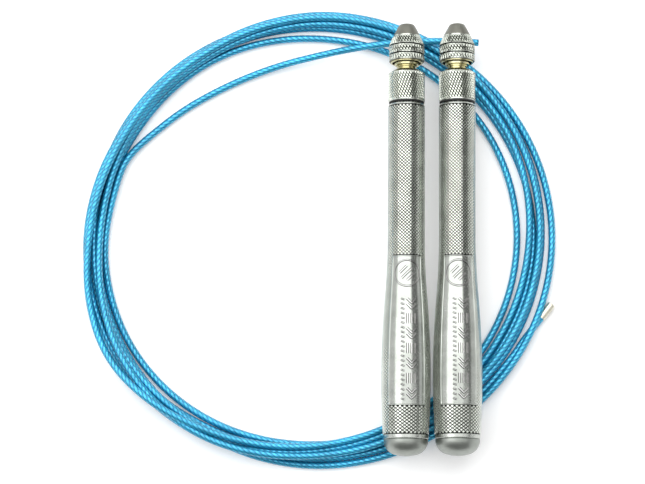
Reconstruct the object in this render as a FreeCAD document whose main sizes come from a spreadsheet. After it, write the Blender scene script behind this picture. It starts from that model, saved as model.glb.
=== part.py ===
"""Speed jump rope: two machined metal handles lying side by side on their coiled, coated steel cable.

Millimetres. The origin is the middle of the coil on the surface that it lies on. +Z is up, +Y runs towards
the heads of the handles, and +X is to the right. Each handle is drawn along its own X axis, from the tip of
its nose (station 0) back to its butt, and its placement then turns that axis to -Y.
"""
import FreeCAD, Part
import math
import os
import Sketcher

V = FreeCAD.Vector

# ---------------------------------------------------------------- driving dimensions, all in mm or degrees
SIZES = {
    # where the two handles lie
    "left_axis_x": 33.4,
    "right_axis_x": 52.7,
    "left_nose_tip_y": 82.4,
    "right_nose_tip_y": 82.7,
    "axis_height": 14.8,
    # nose cap, which screws down on the collet to clamp the cable
    "cable_bore_radius": 1.5,
    "nose_face_radius": 2.4,
    "nose_edge_station": 0.6,
    "nose_edge_radius": 3.1,
    "nose_edge_arc": 0.8,
    "nose_cone_end": 7.8,
    "nose_cone_end_radius": 6.6,
    "nose_cone_arc": 60.0,
    "cap_radius": 6.75,
    "cap_full_station": 8.2,
    "cap_length": 14.8,
    "front_groove_station": 8.45,
    "rear_groove_station": 11.9,
    "groove_width": 0.6,
    "groove_floor_radius": 6.4,
    "cable_bore_end": 4.8,
    "seat_front_radius": 1.9,
    "seat_end": 8.2,
    "seat_rear_radius": 3.3,
    "cap_chamber_radius": 4.2,
    "bush_seat_station": 12.9,
    "bush_outer_radius": 6.15,
    "bush_step_station": 15.3,
    "bush_step_radius": 4.7,
    "bush_bore_radius": 3.9,
    "bush_end": 16.2,
    # slotted collet, which rides in the cap's conical seat
    "collet_front": 5.4,
    "collet_bore_radius": 1.35,
    "collet_nose_radius": 1.85,
    "collet_head_end": 8.0,
    "collet_head_radius": 2.92,
    "collet_shank_radius": 2.35,
    "collet_end": 14.0,
    "collet_slot_end": 12.0,
    "collet_slot_half_width": 0.2,
    # threaded brass stem between the cap and the collar
    "stem_front": 10.2,
    "stem_thread_radius": 3.8,
    "stem_thread_end": 16.8,
    "stem_neck_radius": 3.25,
    "stem_shank_station": 18.4,
    "stem_shank_radius": 4.6,
    "stem_end": 27.0,
    "stem_bore_radius": 2.5,
    "stem_bore_end": 16.3,
    "cable_passage_radius": 1.5,
    "cable_passage_end": 21.0,
    # knurled collar, which turns with the spindle
    "collar_front": 18.1,
    "collar_front_radius": 4.9,
    "collar_chamfer_end": 19.5,
    "collar_radius": 6.95,
    "collar_end": 30.6,
    "collar_rear_bore_radius": 3.0,
    "edge_break": 0.2,
    # spindle and what is threaded on it
    "spindle_front": 22.5,
    "spindle_radius": 2.5,
    "spindle_shoulder_radius": 2.95,
    "spindle_end": 62.6,
    "seal_thickness": 0.5,
    "seal_radius": 6.75,
    # ball bearings, 5 x 10 x 4
    "front_bearing_station": 33.5,
    "rear_bearing_station": 55.0,
    "bearing_width": 4.0,
    "bearing_radius": 5.0,
    "outer_race_bore_radius": 4.25,
    "inner_race_radius": 3.15,
    "ball_circle_radius": 3.7,
    "ball_radius": 0.7,
    "race_groove_radius": 0.78,
    "cage_inner_radius": 3.4,
    "cage_outer_radius": 4.0,
    "cage_half_width": 1.3,
    "spacer_radius": 3.1,
    "washer_thickness": 0.5,
    "nut_thickness": 2.5,
    "nut_corner_radius": 4.4,
    # retaining ring in front of the front bearing
    "ring_front": 32.7,
    "ring_end": 33.4,
    "ring_inner_radius": 4.3,
    "ring_outer_radius": 5.3,
    "ring_groove_front": 32.65,
    "ring_groove_end": 33.45,
    "ring_groove_radius": 5.35,
    "ring_gap_half_width": 0.8,
    # knurled grip shell, slim in front and bulging at the butt
    "grip_front": 31.35,
    "grip_front_radius": 6.55,
    "grip_chamfer_end": 32.1,
    "grip_radius": 7.0,
    "swell_start": 82.0,
    "swell_end": 105.0,
    "swell_end_radius": 7.964,
    "swell_arc": 275.0,
    "bulge_arc": 365.5,
    "grip_end": 158.95,
    "grip_end_radius": 8.5,
    "grip_end_break": 0.3,
    "land_radius": 4.4,
    "rear_bore_station": 100.0,
    "rear_bore_radius": 6.2,
    # smooth label panel, sunk into the top of the grip
    "panel_front": 90.4,
    "panel_end": 146.9,
    "panel_angle": 98.0,
    "panel_front_floor": 6.93,
    "panel_middle_floor": 7.764,
    "panel_end_floor": 8.87,
    "panel_clearance_radius": 10.0,
    # rounded end cap
    "plug_front": 150.0,
    "plug_bore_radius": 4.6,
    "plug_bore_end": 158.0,
    "end_cap_edge_radius": 8.1,
    "end_cap_radius": 8.33,
    "end_cap_corner_station": 159.24,
    "end_cap_corner_arc": 5.6,
    "end_cap_crown_station": 164.64,
    "end_cap_crown_radius": 4.2,
    "end_cap_crown_arc": 16.0,
    "handle_length": 165.2,
    # coated steel cable
    "cable_radius": 1.3,
    "coil_outer_radius": 90.0,
    "coil_outer_x": 0.5,
    "coil_outer_y": 1.5,
    "coil_inner_radius": 77.0,
    "coil_inner_x": -2.8,
    "coil_inner_y": 1.0,
    "coil_height": 5.3,
    "coil_edge_radius": 2.4,
    # crimped ferrule on the cable's far end
    "ferrule_x": 85.4,
    "ferrule_y": -29.0,
    "ferrule_bearing": 52.1,
    "ferrule_radius": 1.55,
    "ferrule_length": 6.8,
    "ferrule_bore_end": 5.8,
    "ferrule_edge": 0.4,
}

BALLS_PER_BEARING = 10
PLACE_IN_SHEET = {"x": "{side}_axis_x", "y": "{side}_nose_tip_y", "z": "axis_height"}

# The free tail of the cable: out of the coil on the left, along the surface inside the coil, then up over
# the coil and under the heads of both handles to its cut end.
TAIL_POINTS = [
    (-77.0, 26.0, 2.6),
    (-72.3, 34.2, 2.0),
    (-63.5, 42.3, 1.45),
    (-52.8, 51.0, 1.35),
    (-40.8, 58.2, 1.35),
    (-28.0, 64.4, 1.5),
    (-14.6, 69.2, 2.6),
    (-1.6, 72.1, 4.9),
    (11.0, 74.6, 6.65),
    (24.0, 76.8, 6.7),
    (37.0, 78.0, 6.7),
    (50.0, 78.2, 6.7),
    (61.5, 77.7, 6.6),
]

# ---------------------------------------------------------------- document and sheet
doc = FreeCAD.newDocument("jump_rope")
sheet = doc.addObject("Spreadsheet::Sheet", "Sheet")
for row, (alias, size) in enumerate(SIZES.items(), start=1):
    sheet.set(f"A{row}", alias)
    sheet.set(f"B{row}", str(size))
    sheet.setAlias(f"B{row}", alias)
doc.recompute()

sub_parts = []


def amount(formula):
    """The value of a sum such as 'collar_end + seal_thickness', from the same cells that drive the model."""
    total = 0.0
    sign = 1.0
    for word in formula.split():
        if word in ("+", "-"):
            sign = 1.0 if word == "+" else -1.0
        else:
            total += sign * (SIZES[word] if word in SIZES else float(word))
    return total


def bound(formula):
    """The same sum as an expression on the sheet."""
    return " ".join(f"Sheet.{word}" if word in SIZES else word for word in formula.split())


def bind(thing, field, formula):
    """Drive one property of a feature from the sheet."""
    thing.setExpression(field, bound(formula))


# ---------------------------------------------------------------- sketching helpers
def new_body(label):
    body = doc.addObject("PartDesign::Body", label)
    body.Label = label
    sub_parts.append(body)
    return body


def new_sketch(body, name, role):
    """A sketch on one of the body's own origin planes."""
    sketch = body.newObject("Sketcher::SketchObject", name)
    own_plane = next(f for f in body.Origin.OriginFeatures if f.Role == role)
    sketch.AttachmentSupport = [(own_plane, "")]
    sketch.MapMode = "FlatFace"
    return sketch


def hold_point(sketch, edge, point, corner):
    """Fix one end of an edge at a place given by two formulas. A zero puts it on the axis itself."""
    for kind, axis, formula in (("DistanceX", -2, corner[0]), ("DistanceY", -1, corner[1])):
        value = amount(formula)
        if value == 0:
            sketch.addConstraint(Sketcher.Constraint("PointOnObject", edge, point, axis))
        else:
            index = sketch.addConstraint(Sketcher.Constraint(kind, -1, 1, edge, point, value))
            bind(sketch, f"Constraints[{index}]", formula)


def bowed(start, end, radius, side):
    """A counter-clockwise arc on two points, which bows to the left of the way between them if side is 1."""
    chord = end - start
    half = chord.Length / 2
    sagitta = radius - math.sqrt(radius * radius - half * half)
    left = V(-chord.y, chord.x, 0).normalize()
    middle = start + chord / 2 + left * sagitta * side
    return Part.Arc(end, middle, start) if side > 0 else Part.Arc(start, middle, end)


def draw_outline(sketch, corners, arcs):
    """A closed outline through corners. arcs maps an edge's number to (radius formula, side it bows to)."""
    places = [V(amount(x), amount(y), 0) for x, y in corners]
    ends = []
    for number, start in enumerate(places):
        end = places[(number + 1) % len(places)]
        if number not in arcs:
            edge = sketch.addGeometry(Part.LineSegment(start, end), False)
            ends.append((edge, 1, 2))
            continue
        formula, side = arcs[number]
        edge = sketch.addGeometry(bowed(start, end, amount(formula), side), False)
        ends.append((edge, 2, 1) if side > 0 else (edge, 1, 2))
    for number, (edge, first, last) in enumerate(ends):
        following, its_first, _ = ends[(number + 1) % len(ends)]
        sketch.addConstraint(Sketcher.Constraint("Coincident", edge, last, following, its_first))
        hold_point(sketch, edge, first, corners[number])
    for number, (formula, _) in arcs.items():
        edge = ends[number][0]
        index = sketch.addConstraint(Sketcher.Constraint("Radius", edge, amount(formula)))
        bind(sketch, f"Constraints[{index}]", formula)


def draw_circle(sketch, x, y, radius):
    circle = Part.Circle(V(amount(x), amount(y), 0), V(0, 0, 1), amount(radius))
    edge = sketch.addGeometry(circle, False)
    hold_point(sketch, edge, 3, (x, y))
    index = sketch.addConstraint(Sketcher.Constraint("Radius", edge, amount(radius)))
    bind(sketch, f"Constraints[{index}]", radius)


def turned(label, corners, arcs=None):
    """A body turned about its own X axis from an outline of (station, radius) corners."""
    body = new_body(label)
    sketch = new_sketch(body, label + "_outline", "XY_Plane")
    draw_outline(sketch, corners, arcs or {})
    feature = body.newObject("PartDesign::Revolution", label + "_turned")
    feature.Profile = sketch
    feature.ReferenceAxis = (sketch, ["H_Axis"])
    feature.Angle = 360
    return body


def ring(label, front, back, inner, outer):
    """A plain turned ring with square edges."""
    return turned(label, [(front, inner), (front, outer), (back, outer), (back, inner)])


def cut_slot(body, name, front, back, half_width, both_ways):
    """Cut a lengthways slot, through one wall of a turned body or right across it."""
    sketch = new_sketch(body, name + "_outline", "XY_Plane")
    low = f"0 - {half_width}"
    draw_outline(sketch, [(front, low), (back, low), (back, half_width), (front, half_width)], {})
    slot = body.newObject("PartDesign::Pocket", name)
    slot.Profile = sketch
    slot.Length = 2 * SIZES["bearing_radius"] + SIZES["ring_outer_radius"]
    if both_ways:
        slot.Midplane = True
    return slot


def repeat_round(body, name, feature, count, angle):
    """Repeat a feature about the body's X axis."""
    pattern = body.newObject("PartDesign::PolarPattern", name)
    pattern.Originals = [feature]
    axis = next(f for f in body.Origin.OriginFeatures if f.Role == "X_Axis")
    pattern.Axis = (axis, [""])
    pattern.Angle = angle
    pattern.Occurrences = count
    body.Tip = pattern


def lay_on_axis(piece, side):
    """Turn a piece's X axis to -Y and put its station 0 at the tip of that handle's nose."""
    turn = FreeCAD.Rotation(V(0, 0, 1), -90)
    at = {axis: alias.format(side=side) for axis, alias in PLACE_IN_SHEET.items()}
    piece.Placement = FreeCAD.Placement(V(*(SIZES[at[axis]] for axis in "xyz")), turn)
    for axis, alias in at.items():
        bind(piece, f"Placement.Base.{axis}", alias)


# ---------------------------------------------------------------- the pieces of one handle
def nose_cap(side):
    groove_corners = []
    for groove in ("front_groove_station", "rear_groove_station"):
        groove_corners += [
            (groove, "cap_radius"),
            (groove, "groove_floor_radius"),
            (f"{groove} + groove_width", "groove_floor_radius"),
            (f"{groove} + groove_width", "cap_radius"),
        ]
    corners = [
        ("0", "cable_bore_radius"),
        ("0", "nose_face_radius"),
        ("nose_edge_station", "nose_edge_radius"),
        ("nose_cone_end", "nose_cone_end_radius"),
        ("cap_full_station", "cap_radius"),
        *groove_corners,
        ("cap_length - edge_break", "cap_radius"),
        ("cap_length", "cap_radius - edge_break"),
        ("cap_length", "bush_outer_radius"),
        ("bush_seat_station", "bush_outer_radius"),
        ("bush_seat_station", "cap_chamber_radius"),
        ("seat_end", "cap_chamber_radius"),
        ("seat_end", "seat_rear_radius"),
        ("cable_bore_end", "seat_front_radius"),
        ("cable_bore_end", "cable_bore_radius"),
    ]
    return turned(f"{side}_nose_cap", corners, {1: ("nose_edge_arc", 1), 2: ("nose_cone_arc", 1)})


def cap_bush(side):
    corners = [
        ("bush_seat_station", "bush_bore_radius"),
        ("bush_seat_station", "bush_outer_radius"),
        ("bush_step_station - edge_break", "bush_outer_radius"),
        ("bush_step_station", "bush_outer_radius - edge_break"),
        ("bush_step_station", "bush_step_radius"),
        ("bush_end", "bush_step_radius"),
        ("bush_end", "bush_bore_radius"),
    ]
    return turned(f"{side}_cap_bush", corners)


def collet(side):
    label = f"{side}_collet"
    corners = [
        ("collet_front", "collet_bore_radius"),
        ("collet_front", "collet_nose_radius"),
        ("collet_head_end", "collet_head_radius"),
        ("collet_head_end", "collet_shank_radius"),
        ("collet_end", "collet_shank_radius"),
        ("collet_end", "collet_bore_radius"),
    ]
    body = turned(label, corners)
    front = "collet_front - edge_break"
    slot = cut_slot(body, label + "_slot", front, "collet_slot_end", "collet_slot_half_width", True)
    repeat_round(body, label + "_jaws", slot, 2, 90)
    return body


def brass_stem(side):
    corners = [
        ("stem_front", "stem_bore_radius"),
        ("stem_front", "stem_thread_radius - edge_break"),
        ("stem_front + edge_break", "stem_thread_radius"),
        ("stem_thread_end", "stem_thread_radius"),
        ("stem_thread_end", "stem_neck_radius"),
        ("stem_shank_station", "stem_neck_radius"),
        ("stem_shank_station", "stem_shank_radius"),
        ("stem_end", "stem_shank_radius"),
        ("stem_end", "spindle_radius"),
        ("spindle_front", "spindle_radius"),
        ("spindle_front", "0"),
        ("cable_passage_end", "0"),
        ("cable_passage_end", "cable_passage_radius"),
        ("stem_bore_end", "cable_passage_radius"),
        ("stem_bore_end", "stem_bore_radius"),
    ]
    return turned(f"{side}_brass_stem", corners)


def collar(side):
    corners = [
        ("collar_front", "stem_shank_radius"),
        ("collar_front", "collar_front_radius"),
        ("collar_chamfer_end", "collar_radius"),
        ("collar_end - edge_break", "collar_radius"),
        ("collar_end", "collar_radius - edge_break"),
        ("collar_end", "collar_rear_bore_radius"),
        ("stem_end", "collar_rear_bore_radius"),
        ("stem_end", "stem_shank_radius"),
    ]
    return turned(f"{side}_collar", corners)


def collar_seal(side):
    return ring(
        f"{side}_collar_seal", "collar_end", "collar_end + seal_thickness",
        "collar_rear_bore_radius", "seal_radius",
    )


def spindle(side):
    corners = [
        ("spindle_front", "0"),
        ("spindle_front", "spindle_radius"),
        ("stem_end", "spindle_radius"),
        ("stem_end", "spindle_shoulder_radius"),
        ("front_bearing_station", "spindle_shoulder_radius"),
        ("front_bearing_station", "spindle_radius"),
        ("spindle_end - edge_break", "spindle_radius"),
        ("spindle_end", "spindle_radius - edge_break"),
        ("spindle_end", "0"),
    ]
    return turned(f"{side}_spindle", corners)


def bearing_races(side, where):
    """Outer and inner race of one ball bearing, each with its round ball track."""
    front = f"{where}_bearing_station"
    back = f"{front} + bearing_width"
    half_track = math.sqrt(
        SIZES["race_groove_radius"] ** 2
        - (SIZES["outer_race_bore_radius"] - SIZES["ball_circle_radius"]) ** 2
    )
    middle = f"{front} + {SIZES['bearing_width'] / 2}"
    track_front = f"{middle} - {half_track:.6f}"
    track_back = f"{middle} + {half_track:.6f}"
    outer = turned(
        f"{side}_{where}_outer_race",
        [
            (front, "outer_race_bore_radius"),
            (front, "bearing_radius"),
            (back, "bearing_radius"),
            (back, "outer_race_bore_radius"),
            (track_back, "outer_race_bore_radius"),
            (track_front, "outer_race_bore_radius"),
        ],
        {4: ("race_groove_radius", -1)},
    )
    inner = turned(
        f"{side}_{where}_inner_race",
        [
            (front, "spindle_radius"),
            (front, "inner_race_radius"),
            (track_front, "inner_race_radius"),
            (track_back, "inner_race_radius"),
            (back, "inner_race_radius"),
            (back, "spindle_radius"),
        ],
        {2: ("race_groove_radius", -1)},
    )
    return [outer, inner]


def bearing_cage(side, where):
    """A ring with one round pocket for each ball."""
    label = f"{side}_{where}_cage"
    middle = f"{where}_bearing_station + {SIZES['bearing_width'] / 2}"
    front = f"{middle} - cage_half_width"
    back = f"{middle} + cage_half_width"
    body = ring(label, front, back, "cage_inner_radius", "cage_outer_radius")
    sketch = new_sketch(body, label + "_pocket_outline", "XY_Plane")
    draw_circle(sketch, middle, "0", "race_groove_radius")
    pocket = body.newObject("PartDesign::Pocket", label + "_pocket")
    pocket.Profile = sketch
    bind(pocket, "Length", "bearing_radius")
    repeat_round(body, label + "_pockets", pocket, BALLS_PER_BEARING, 360)
    return body


def bearing_balls(side, where):
    """One bearing's balls, as a group of separate solids."""
    middle = SIZES[f"{where}_bearing_station"] + SIZES["bearing_width"] / 2
    reach = SIZES["ball_circle_radius"]
    turns = [2 * math.pi * number / BALLS_PER_BEARING for number in range(BALLS_PER_BEARING)]
    centres = [V(middle, -reach * math.sin(turn), -reach * math.cos(turn)) for turn in turns]
    balls = doc.addObject("Part::Feature", f"{side}_{where}_balls")
    balls.Label = f"{side}_{where}_balls"
    balls.Shape = Part.makeCompound([Part.makeSphere(SIZES["ball_radius"], centre) for centre in centres])
    sub_parts.append(balls)
    return balls


def bearing_spacer(side):
    front = "front_bearing_station + bearing_width"
    return ring(f"{side}_bearing_spacer", front, "rear_bearing_station", "spindle_radius", "spacer_radius")


def nut_washer(side):
    front = "rear_bearing_station + bearing_width"
    back = f"{front} + washer_thickness"
    return ring(f"{side}_nut_washer", front, back, "spindle_radius", "spacer_radius")


def lock_nut(side):
    """A hexagon nut on the rear end of the spindle."""
    label = f"{side}_lock_nut"
    body = new_body(label)
    sketch = new_sketch(body, label + "_outline", "YZ_Plane")
    front = "rear_bearing_station + bearing_width + washer_thickness"
    bind(sketch, "AttachmentOffset.Base.z", front)
    corner_radius = SIZES["nut_corner_radius"]
    guide = sketch.addGeometry(Part.Circle(V(0, 0, 0), V(0, 0, 1), corner_radius), True)
    sketch.addConstraint(Sketcher.Constraint("Coincident", guide, 3, -1, 1))
    index = sketch.addConstraint(Sketcher.Constraint("Radius", guide, corner_radius))
    bind(sketch, f"Constraints[{index}]", "nut_corner_radius")
    turns = [math.radians(60 * number) for number in range(6)]
    places = [V(corner_radius * math.cos(turn), corner_radius * math.sin(turn), 0) for turn in turns]
    sides = []
    for number, place in enumerate(places):
        line = Part.LineSegment(place, places[(number + 1) % 6])
        sides.append(sketch.addGeometry(line, False))
    for number, flat in enumerate(sides):
        following = sides[(number + 1) % 6]
        sketch.addConstraint(Sketcher.Constraint("Coincident", flat, 2, following, 1))
        sketch.addConstraint(Sketcher.Constraint("PointOnObject", flat, 1, guide))
        if number:
            sketch.addConstraint(Sketcher.Constraint("Equal", sides[0], flat))
    sketch.addConstraint(Sketcher.Constraint("PointOnObject", sides[0], 1, -1))
    draw_circle(sketch, "0", "0", "spindle_radius")
    pad = body.newObject("PartDesign::Pad", label + "_pad")
    pad.Profile = sketch
    bind(pad, "Length", "nut_thickness")
    return body


def retaining_ring(side):
    """A sprung ring with a gap, in its groove in front of the front bearing."""
    label = f"{side}_retaining_ring"
    body = ring(label, "ring_front", "ring_end", "ring_inner_radius", "ring_outer_radius")
    front = "ring_front - edge_break"
    back = "ring_end + edge_break"
    cut_slot(body, label + "_gap", front, back, "ring_gap_half_width", False)
    return body


def grip_shell(side):
    label = f"{side}_grip_shell"
    front_seat_end = "front_bearing_station + bearing_width"
    corners = [
        ("grip_front", "bearing_radius"),
        ("grip_front", "grip_front_radius"),
        ("grip_chamfer_end", "grip_radius"),
        ("swell_start", "grip_radius"),
        ("swell_end", "swell_end_radius"),
        ("grip_end - grip_end_break", "grip_end_radius"),
        ("grip_end", "grip_end_radius - grip_end_break"),
        ("grip_end", "rear_bore_radius"),
        ("rear_bore_station", "rear_bore_radius"),
        ("rear_bore_station", "bearing_radius"),
        ("rear_bearing_station", "bearing_radius"),
        ("rear_bearing_station", "land_radius"),
        (front_seat_end, "land_radius"),
        (front_seat_end, "bearing_radius"),
        ("ring_groove_end", "bearing_radius"),
        ("ring_groove_end", "ring_groove_radius"),
        ("ring_groove_front", "ring_groove_radius"),
        ("ring_groove_front", "bearing_radius"),
    ]
    body = turned(label, corners, {3: ("swell_arc", -1), 4: ("bulge_arc", 1)})
    sketch = new_sketch(body, label + "_panel_outline", "XZ_Plane")
    panel_corners = [
        ("panel_front", "panel_clearance_radius"),
        ("panel_front", "panel_front_floor"),
        ("swell_end", "panel_middle_floor"),
        ("panel_end", "panel_end_floor"),
        ("panel_end", "panel_clearance_radius"),
    ]
    draw_outline(sketch, panel_corners, {1: ("swell_arc", -1), 2: ("bulge_arc", 1)})
    panel = body.newObject("PartDesign::Groove", label + "_panel")
    panel.Profile = sketch
    panel.ReferenceAxis = (sketch, ["H_Axis"])
    bind(panel, "Angle", "panel_angle")
    panel.Midplane = True
    return body


def end_cap(side):
    corners = [
        ("plug_front", "plug_bore_radius"),
        ("plug_front", "rear_bore_radius"),
        ("grip_end", "rear_bore_radius"),
        ("grip_end", "end_cap_edge_radius"),
        ("end_cap_corner_station", "end_cap_radius"),
        ("end_cap_crown_station", "end_cap_crown_radius"),
        ("handle_length", "0"),
        ("plug_bore_end", "0"),
        ("plug_bore_end", "plug_bore_radius"),
    ]
    arcs = {4: ("end_cap_corner_arc", 1), 5: ("end_cap_crown_arc", 1)}
    return turned(f"{side}_end_cap", corners, arcs)


def handle(side):
    """Every piece of one handle, laid on that handle's axis."""
    pieces = [
        make(side)
        for make in (
            nose_cap, cap_bush, collet, brass_stem, collar, collar_seal, spindle, bearing_spacer,
            nut_washer, lock_nut, retaining_ring, grip_shell, end_cap,
        )
    ]
    for where in ("front", "rear"):
        pieces += bearing_races(side, where)
        pieces.append(bearing_cage(side, where))
        pieces.append(bearing_balls(side, where))
    for piece in pieces:
        lay_on_axis(piece, side)


# ---------------------------------------------------------------- the cable
def cable_coil():
    """The outer shape of the coil's turns: a flat ring, slightly wider on the right than on the left."""
    body = new_body("cable_coil")
    sketch = new_sketch(body, "cable_coil_outline", "XY_Plane")
    draw_circle(sketch, "coil_outer_x", "coil_outer_y", "coil_outer_radius")
    draw_circle(sketch, "coil_inner_x", "coil_inner_y", "coil_inner_radius")
    pad = body.newObject("PartDesign::Pad", "cable_coil_pad")
    pad.Profile = sketch
    bind(pad, "Length", "coil_height")
    doc.recompute()
    rounding = body.newObject("PartDesign::Fillet", "cable_coil_edges")
    rounding.Base = (pad, ["Edge1"])
    rounding.UseAllEdges = True
    bind(rounding, "Radius", "coil_edge_radius")
    body.Tip = rounding


def rounded_path(points):
    """Straight runs joined by tangent arcs, each as large as its two runs allow. Also the arcs' radii."""
    edges = []
    radii = []
    last = points[0]
    for before, corner, after in zip(points, points[1:], points[2:]):
        back = (before - corner).normalize()
        ahead = (after - corner).normalize()
        half_turn = (math.pi - back.getAngle(ahead)) / 2
        trim = 0.45 * min((before - corner).Length, (after - corner).Length)
        radius = trim / math.tan(half_turn)
        middle_way = (back + ahead).normalize()
        arc_middle = corner + middle_way * (radius / math.cos(half_turn) - radius)
        arc_start = corner + back * trim
        arc_end = corner + ahead * trim
        edges.append(Part.LineSegment(last, arc_start).toShape())
        edges.append(Part.Arc(arc_start, arc_middle, arc_end).toShape())
        radii.append(radius)
        last = arc_end
    edges.append(Part.LineSegment(last, points[-1]).toShape())
    return Part.Wire(edges), radii


def cable_tail():
    path, radii = rounded_path([V(*point) for point in TAIL_POINTS])
    radius = SIZES["cable_radius"]
    start, following = V(*TAIL_POINTS[0]), V(*TAIL_POINTS[1])
    section = Part.Wire(Part.Circle(start, following - start, radius).toShape())
    tail = doc.addObject("Part::Feature", "cable_tail")
    tail.Label = "cable_tail"
    tail.Shape = path.makePipeShell([section], True, False)
    tail.Placement = FreeCAD.Placement()
    sub_parts.append(tail)
    expected = math.pi * radius * radius * path.Length
    print(f"tail length {path.Length:.1f} mm, arc radii", [round(value, 1) for value in radii])
    print(f"tail volume {tail.Shape.Volume:.1f}, section times length {expected:.1f} mm3")


def cable_ferrule():
    """A crimped sleeve with a rounded closed end, on the end of the cable that comes out of the coil."""
    corners = [
        ("0", "cable_radius"),
        ("0", "ferrule_radius"),
        ("ferrule_length - ferrule_edge", "ferrule_radius"),
        ("ferrule_length", "ferrule_radius - ferrule_edge"),
        ("ferrule_length", "0"),
        ("ferrule_bore_end", "0"),
        ("ferrule_bore_end", "cable_radius"),
    ]
    body = turned("cable_ferrule", corners, {2: ("ferrule_edge", 1)})
    bearing = FreeCAD.Rotation(V(0, 0, 1), SIZES["ferrule_bearing"])
    at = {"x": "ferrule_x", "y": "ferrule_y", "z": "ferrule_radius + edge_break"}
    body.Placement = FreeCAD.Placement(V(*(amount(at[axis]) for axis in "xyz")), bearing)
    for axis, formula in at.items():
        bind(body, f"Placement.Base.{axis}", formula)


# ---------------------------------------------------------------- build, check and export
handle("left")
handle("right")
cable_coil()
cable_tail()
cable_ferrule()
doc.recompute()

faults = [thing.Name for thing in doc.Objects if {"Invalid", "Error"} & set(thing.State)]
for part in sub_parts:
    if part.Shape.isNull() or not part.Shape.isValid():
        faults.append(part.Label)
if faults:
    raise RuntimeError(f"these objects failed: {faults}")

for side in ("left", "right"):
    for where in ("front", "rear"):
        cage = doc.getObject(f"{side}_{where}_cage")
        solid_ring = doc.getObject(f"{side}_{where}_cage_turned")
        if cage.Shape.Volume > 0.8 * solid_ring.Shape.Volume:
            raise RuntimeError(f"{cage.Label} has lost its pockets")
    shell = doc.getObject(f"{side}_grip_shell")
    if shell.Shape.Volume >= doc.getObject(f"{side}_grip_shell_turned").Shape.Volume:
        raise RuntimeError(f"{shell.Label} has lost its label panel")

os.makedirs("parts", exist_ok=True)
for part in sub_parts:
    part.Shape.exportStep(f"parts/{part.Label}.step")
    print(f"{part.Label}: {len(part.Shape.Solids)} solid(s), {part.Shape.Volume:.1f} mm3")
print(len(sub_parts), "nodes")
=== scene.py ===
"""Looks of a speed jump rope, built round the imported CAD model, in metres and in the model's own frame."""

import math

import bpy
import numpy as np
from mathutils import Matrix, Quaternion, Vector


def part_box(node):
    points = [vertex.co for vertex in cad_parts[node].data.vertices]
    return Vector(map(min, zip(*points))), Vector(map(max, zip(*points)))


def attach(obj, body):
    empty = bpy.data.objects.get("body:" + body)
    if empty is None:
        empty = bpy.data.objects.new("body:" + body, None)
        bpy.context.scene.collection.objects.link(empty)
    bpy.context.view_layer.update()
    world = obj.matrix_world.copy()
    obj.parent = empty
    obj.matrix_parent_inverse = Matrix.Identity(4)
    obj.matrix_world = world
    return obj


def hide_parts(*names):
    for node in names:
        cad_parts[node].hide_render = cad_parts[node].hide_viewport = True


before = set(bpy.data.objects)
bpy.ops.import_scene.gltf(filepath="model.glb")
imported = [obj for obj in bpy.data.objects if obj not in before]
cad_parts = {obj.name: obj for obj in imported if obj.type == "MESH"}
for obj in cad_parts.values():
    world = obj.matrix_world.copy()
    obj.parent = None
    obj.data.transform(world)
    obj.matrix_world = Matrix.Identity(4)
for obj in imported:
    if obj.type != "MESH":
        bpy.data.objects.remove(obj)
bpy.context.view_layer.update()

MM = 0.001
SIDES = ("left", "right")

# ---------------------------------------------------------------- camera
LOOK_AT = Vector((0.00173, 0.0, 0.0))
CAMERA_TILT = math.radians(9.1)
CAMERA_DISTANCE = 0.822
CAMERA_ROLL = math.radians(0.5)
CAMERA_LENS = 119.2

camera_data = bpy.data.cameras.new("camera")
camera_data.lens = CAMERA_LENS
camera_data.sensor_width = 36.0
camera_data.clip_start = 0.01
camera_data.clip_end = 20.0
camera = bpy.data.objects.new("camera", camera_data)
bpy.context.scene.collection.objects.link(camera)
camera.location = LOOK_AT + CAMERA_DISTANCE * Vector((0.0, -math.sin(CAMERA_TILT), math.cos(CAMERA_TILT)))
aim = (LOOK_AT - camera.location).to_track_quat("-Z", "Y")
camera.rotation_mode = "QUATERNION"
camera.rotation_quaternion = aim @ Quaternion((0.0, 0.0, 1.0), CAMERA_ROLL)
bpy.context.scene.camera = camera


# ---------------------------------------------------------------- materials
def value_range(tree, source, low, high, start=0.0, end=1.0):
    """Maps a node's value output from start..end to low..high."""
    node = tree.nodes.new("ShaderNodeMapRange")
    node.inputs["From Min"].default_value = start
    node.inputs["From Max"].default_value = end
    node.inputs["To Min"].default_value = low
    node.inputs["To Max"].default_value = high
    tree.links.new(source, node.inputs["Value"])
    return node.outputs["Result"]


def colour_ramp(tree, source, stops):
    node = tree.nodes.new("ShaderNodeValToRGB")
    ramp = node.color_ramp
    while len(ramp.elements) < len(stops):
        ramp.elements.new(0.5)
    for element, (place, colour) in zip(ramp.elements, stops):
        element.position = place
        element.color = (*colour, 1.0)
    tree.links.new(source, node.inputs["Fac"])
    return node.outputs["Color"]


def noise(tree, vector, scale, detail=3.0, roughness=0.5):
    node = tree.nodes.new("ShaderNodeTexNoise")
    node.inputs["Scale"].default_value = scale
    node.inputs["Detail"].default_value = detail
    node.inputs["Roughness"].default_value = roughness
    tree.links.new(vector, node.inputs["Vector"])
    return node.outputs["Fac"]


def stretched(tree, vector, scale):
    node = tree.nodes.new("ShaderNodeMapping")
    node.inputs["Scale"].default_value = scale
    tree.links.new(vector, node.inputs["Vector"])
    return node.outputs["Vector"]


def bump(tree, height, strength, distance, normal=None):
    node = tree.nodes.new("ShaderNodeBump")
    node.inputs["Strength"].default_value = strength
    node.inputs["Distance"].default_value = distance
    tree.links.new(height, node.inputs["Height"])
    if normal is not None:
        tree.links.new(normal, node.inputs["Normal"])
    return node.outputs["Normal"]


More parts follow.
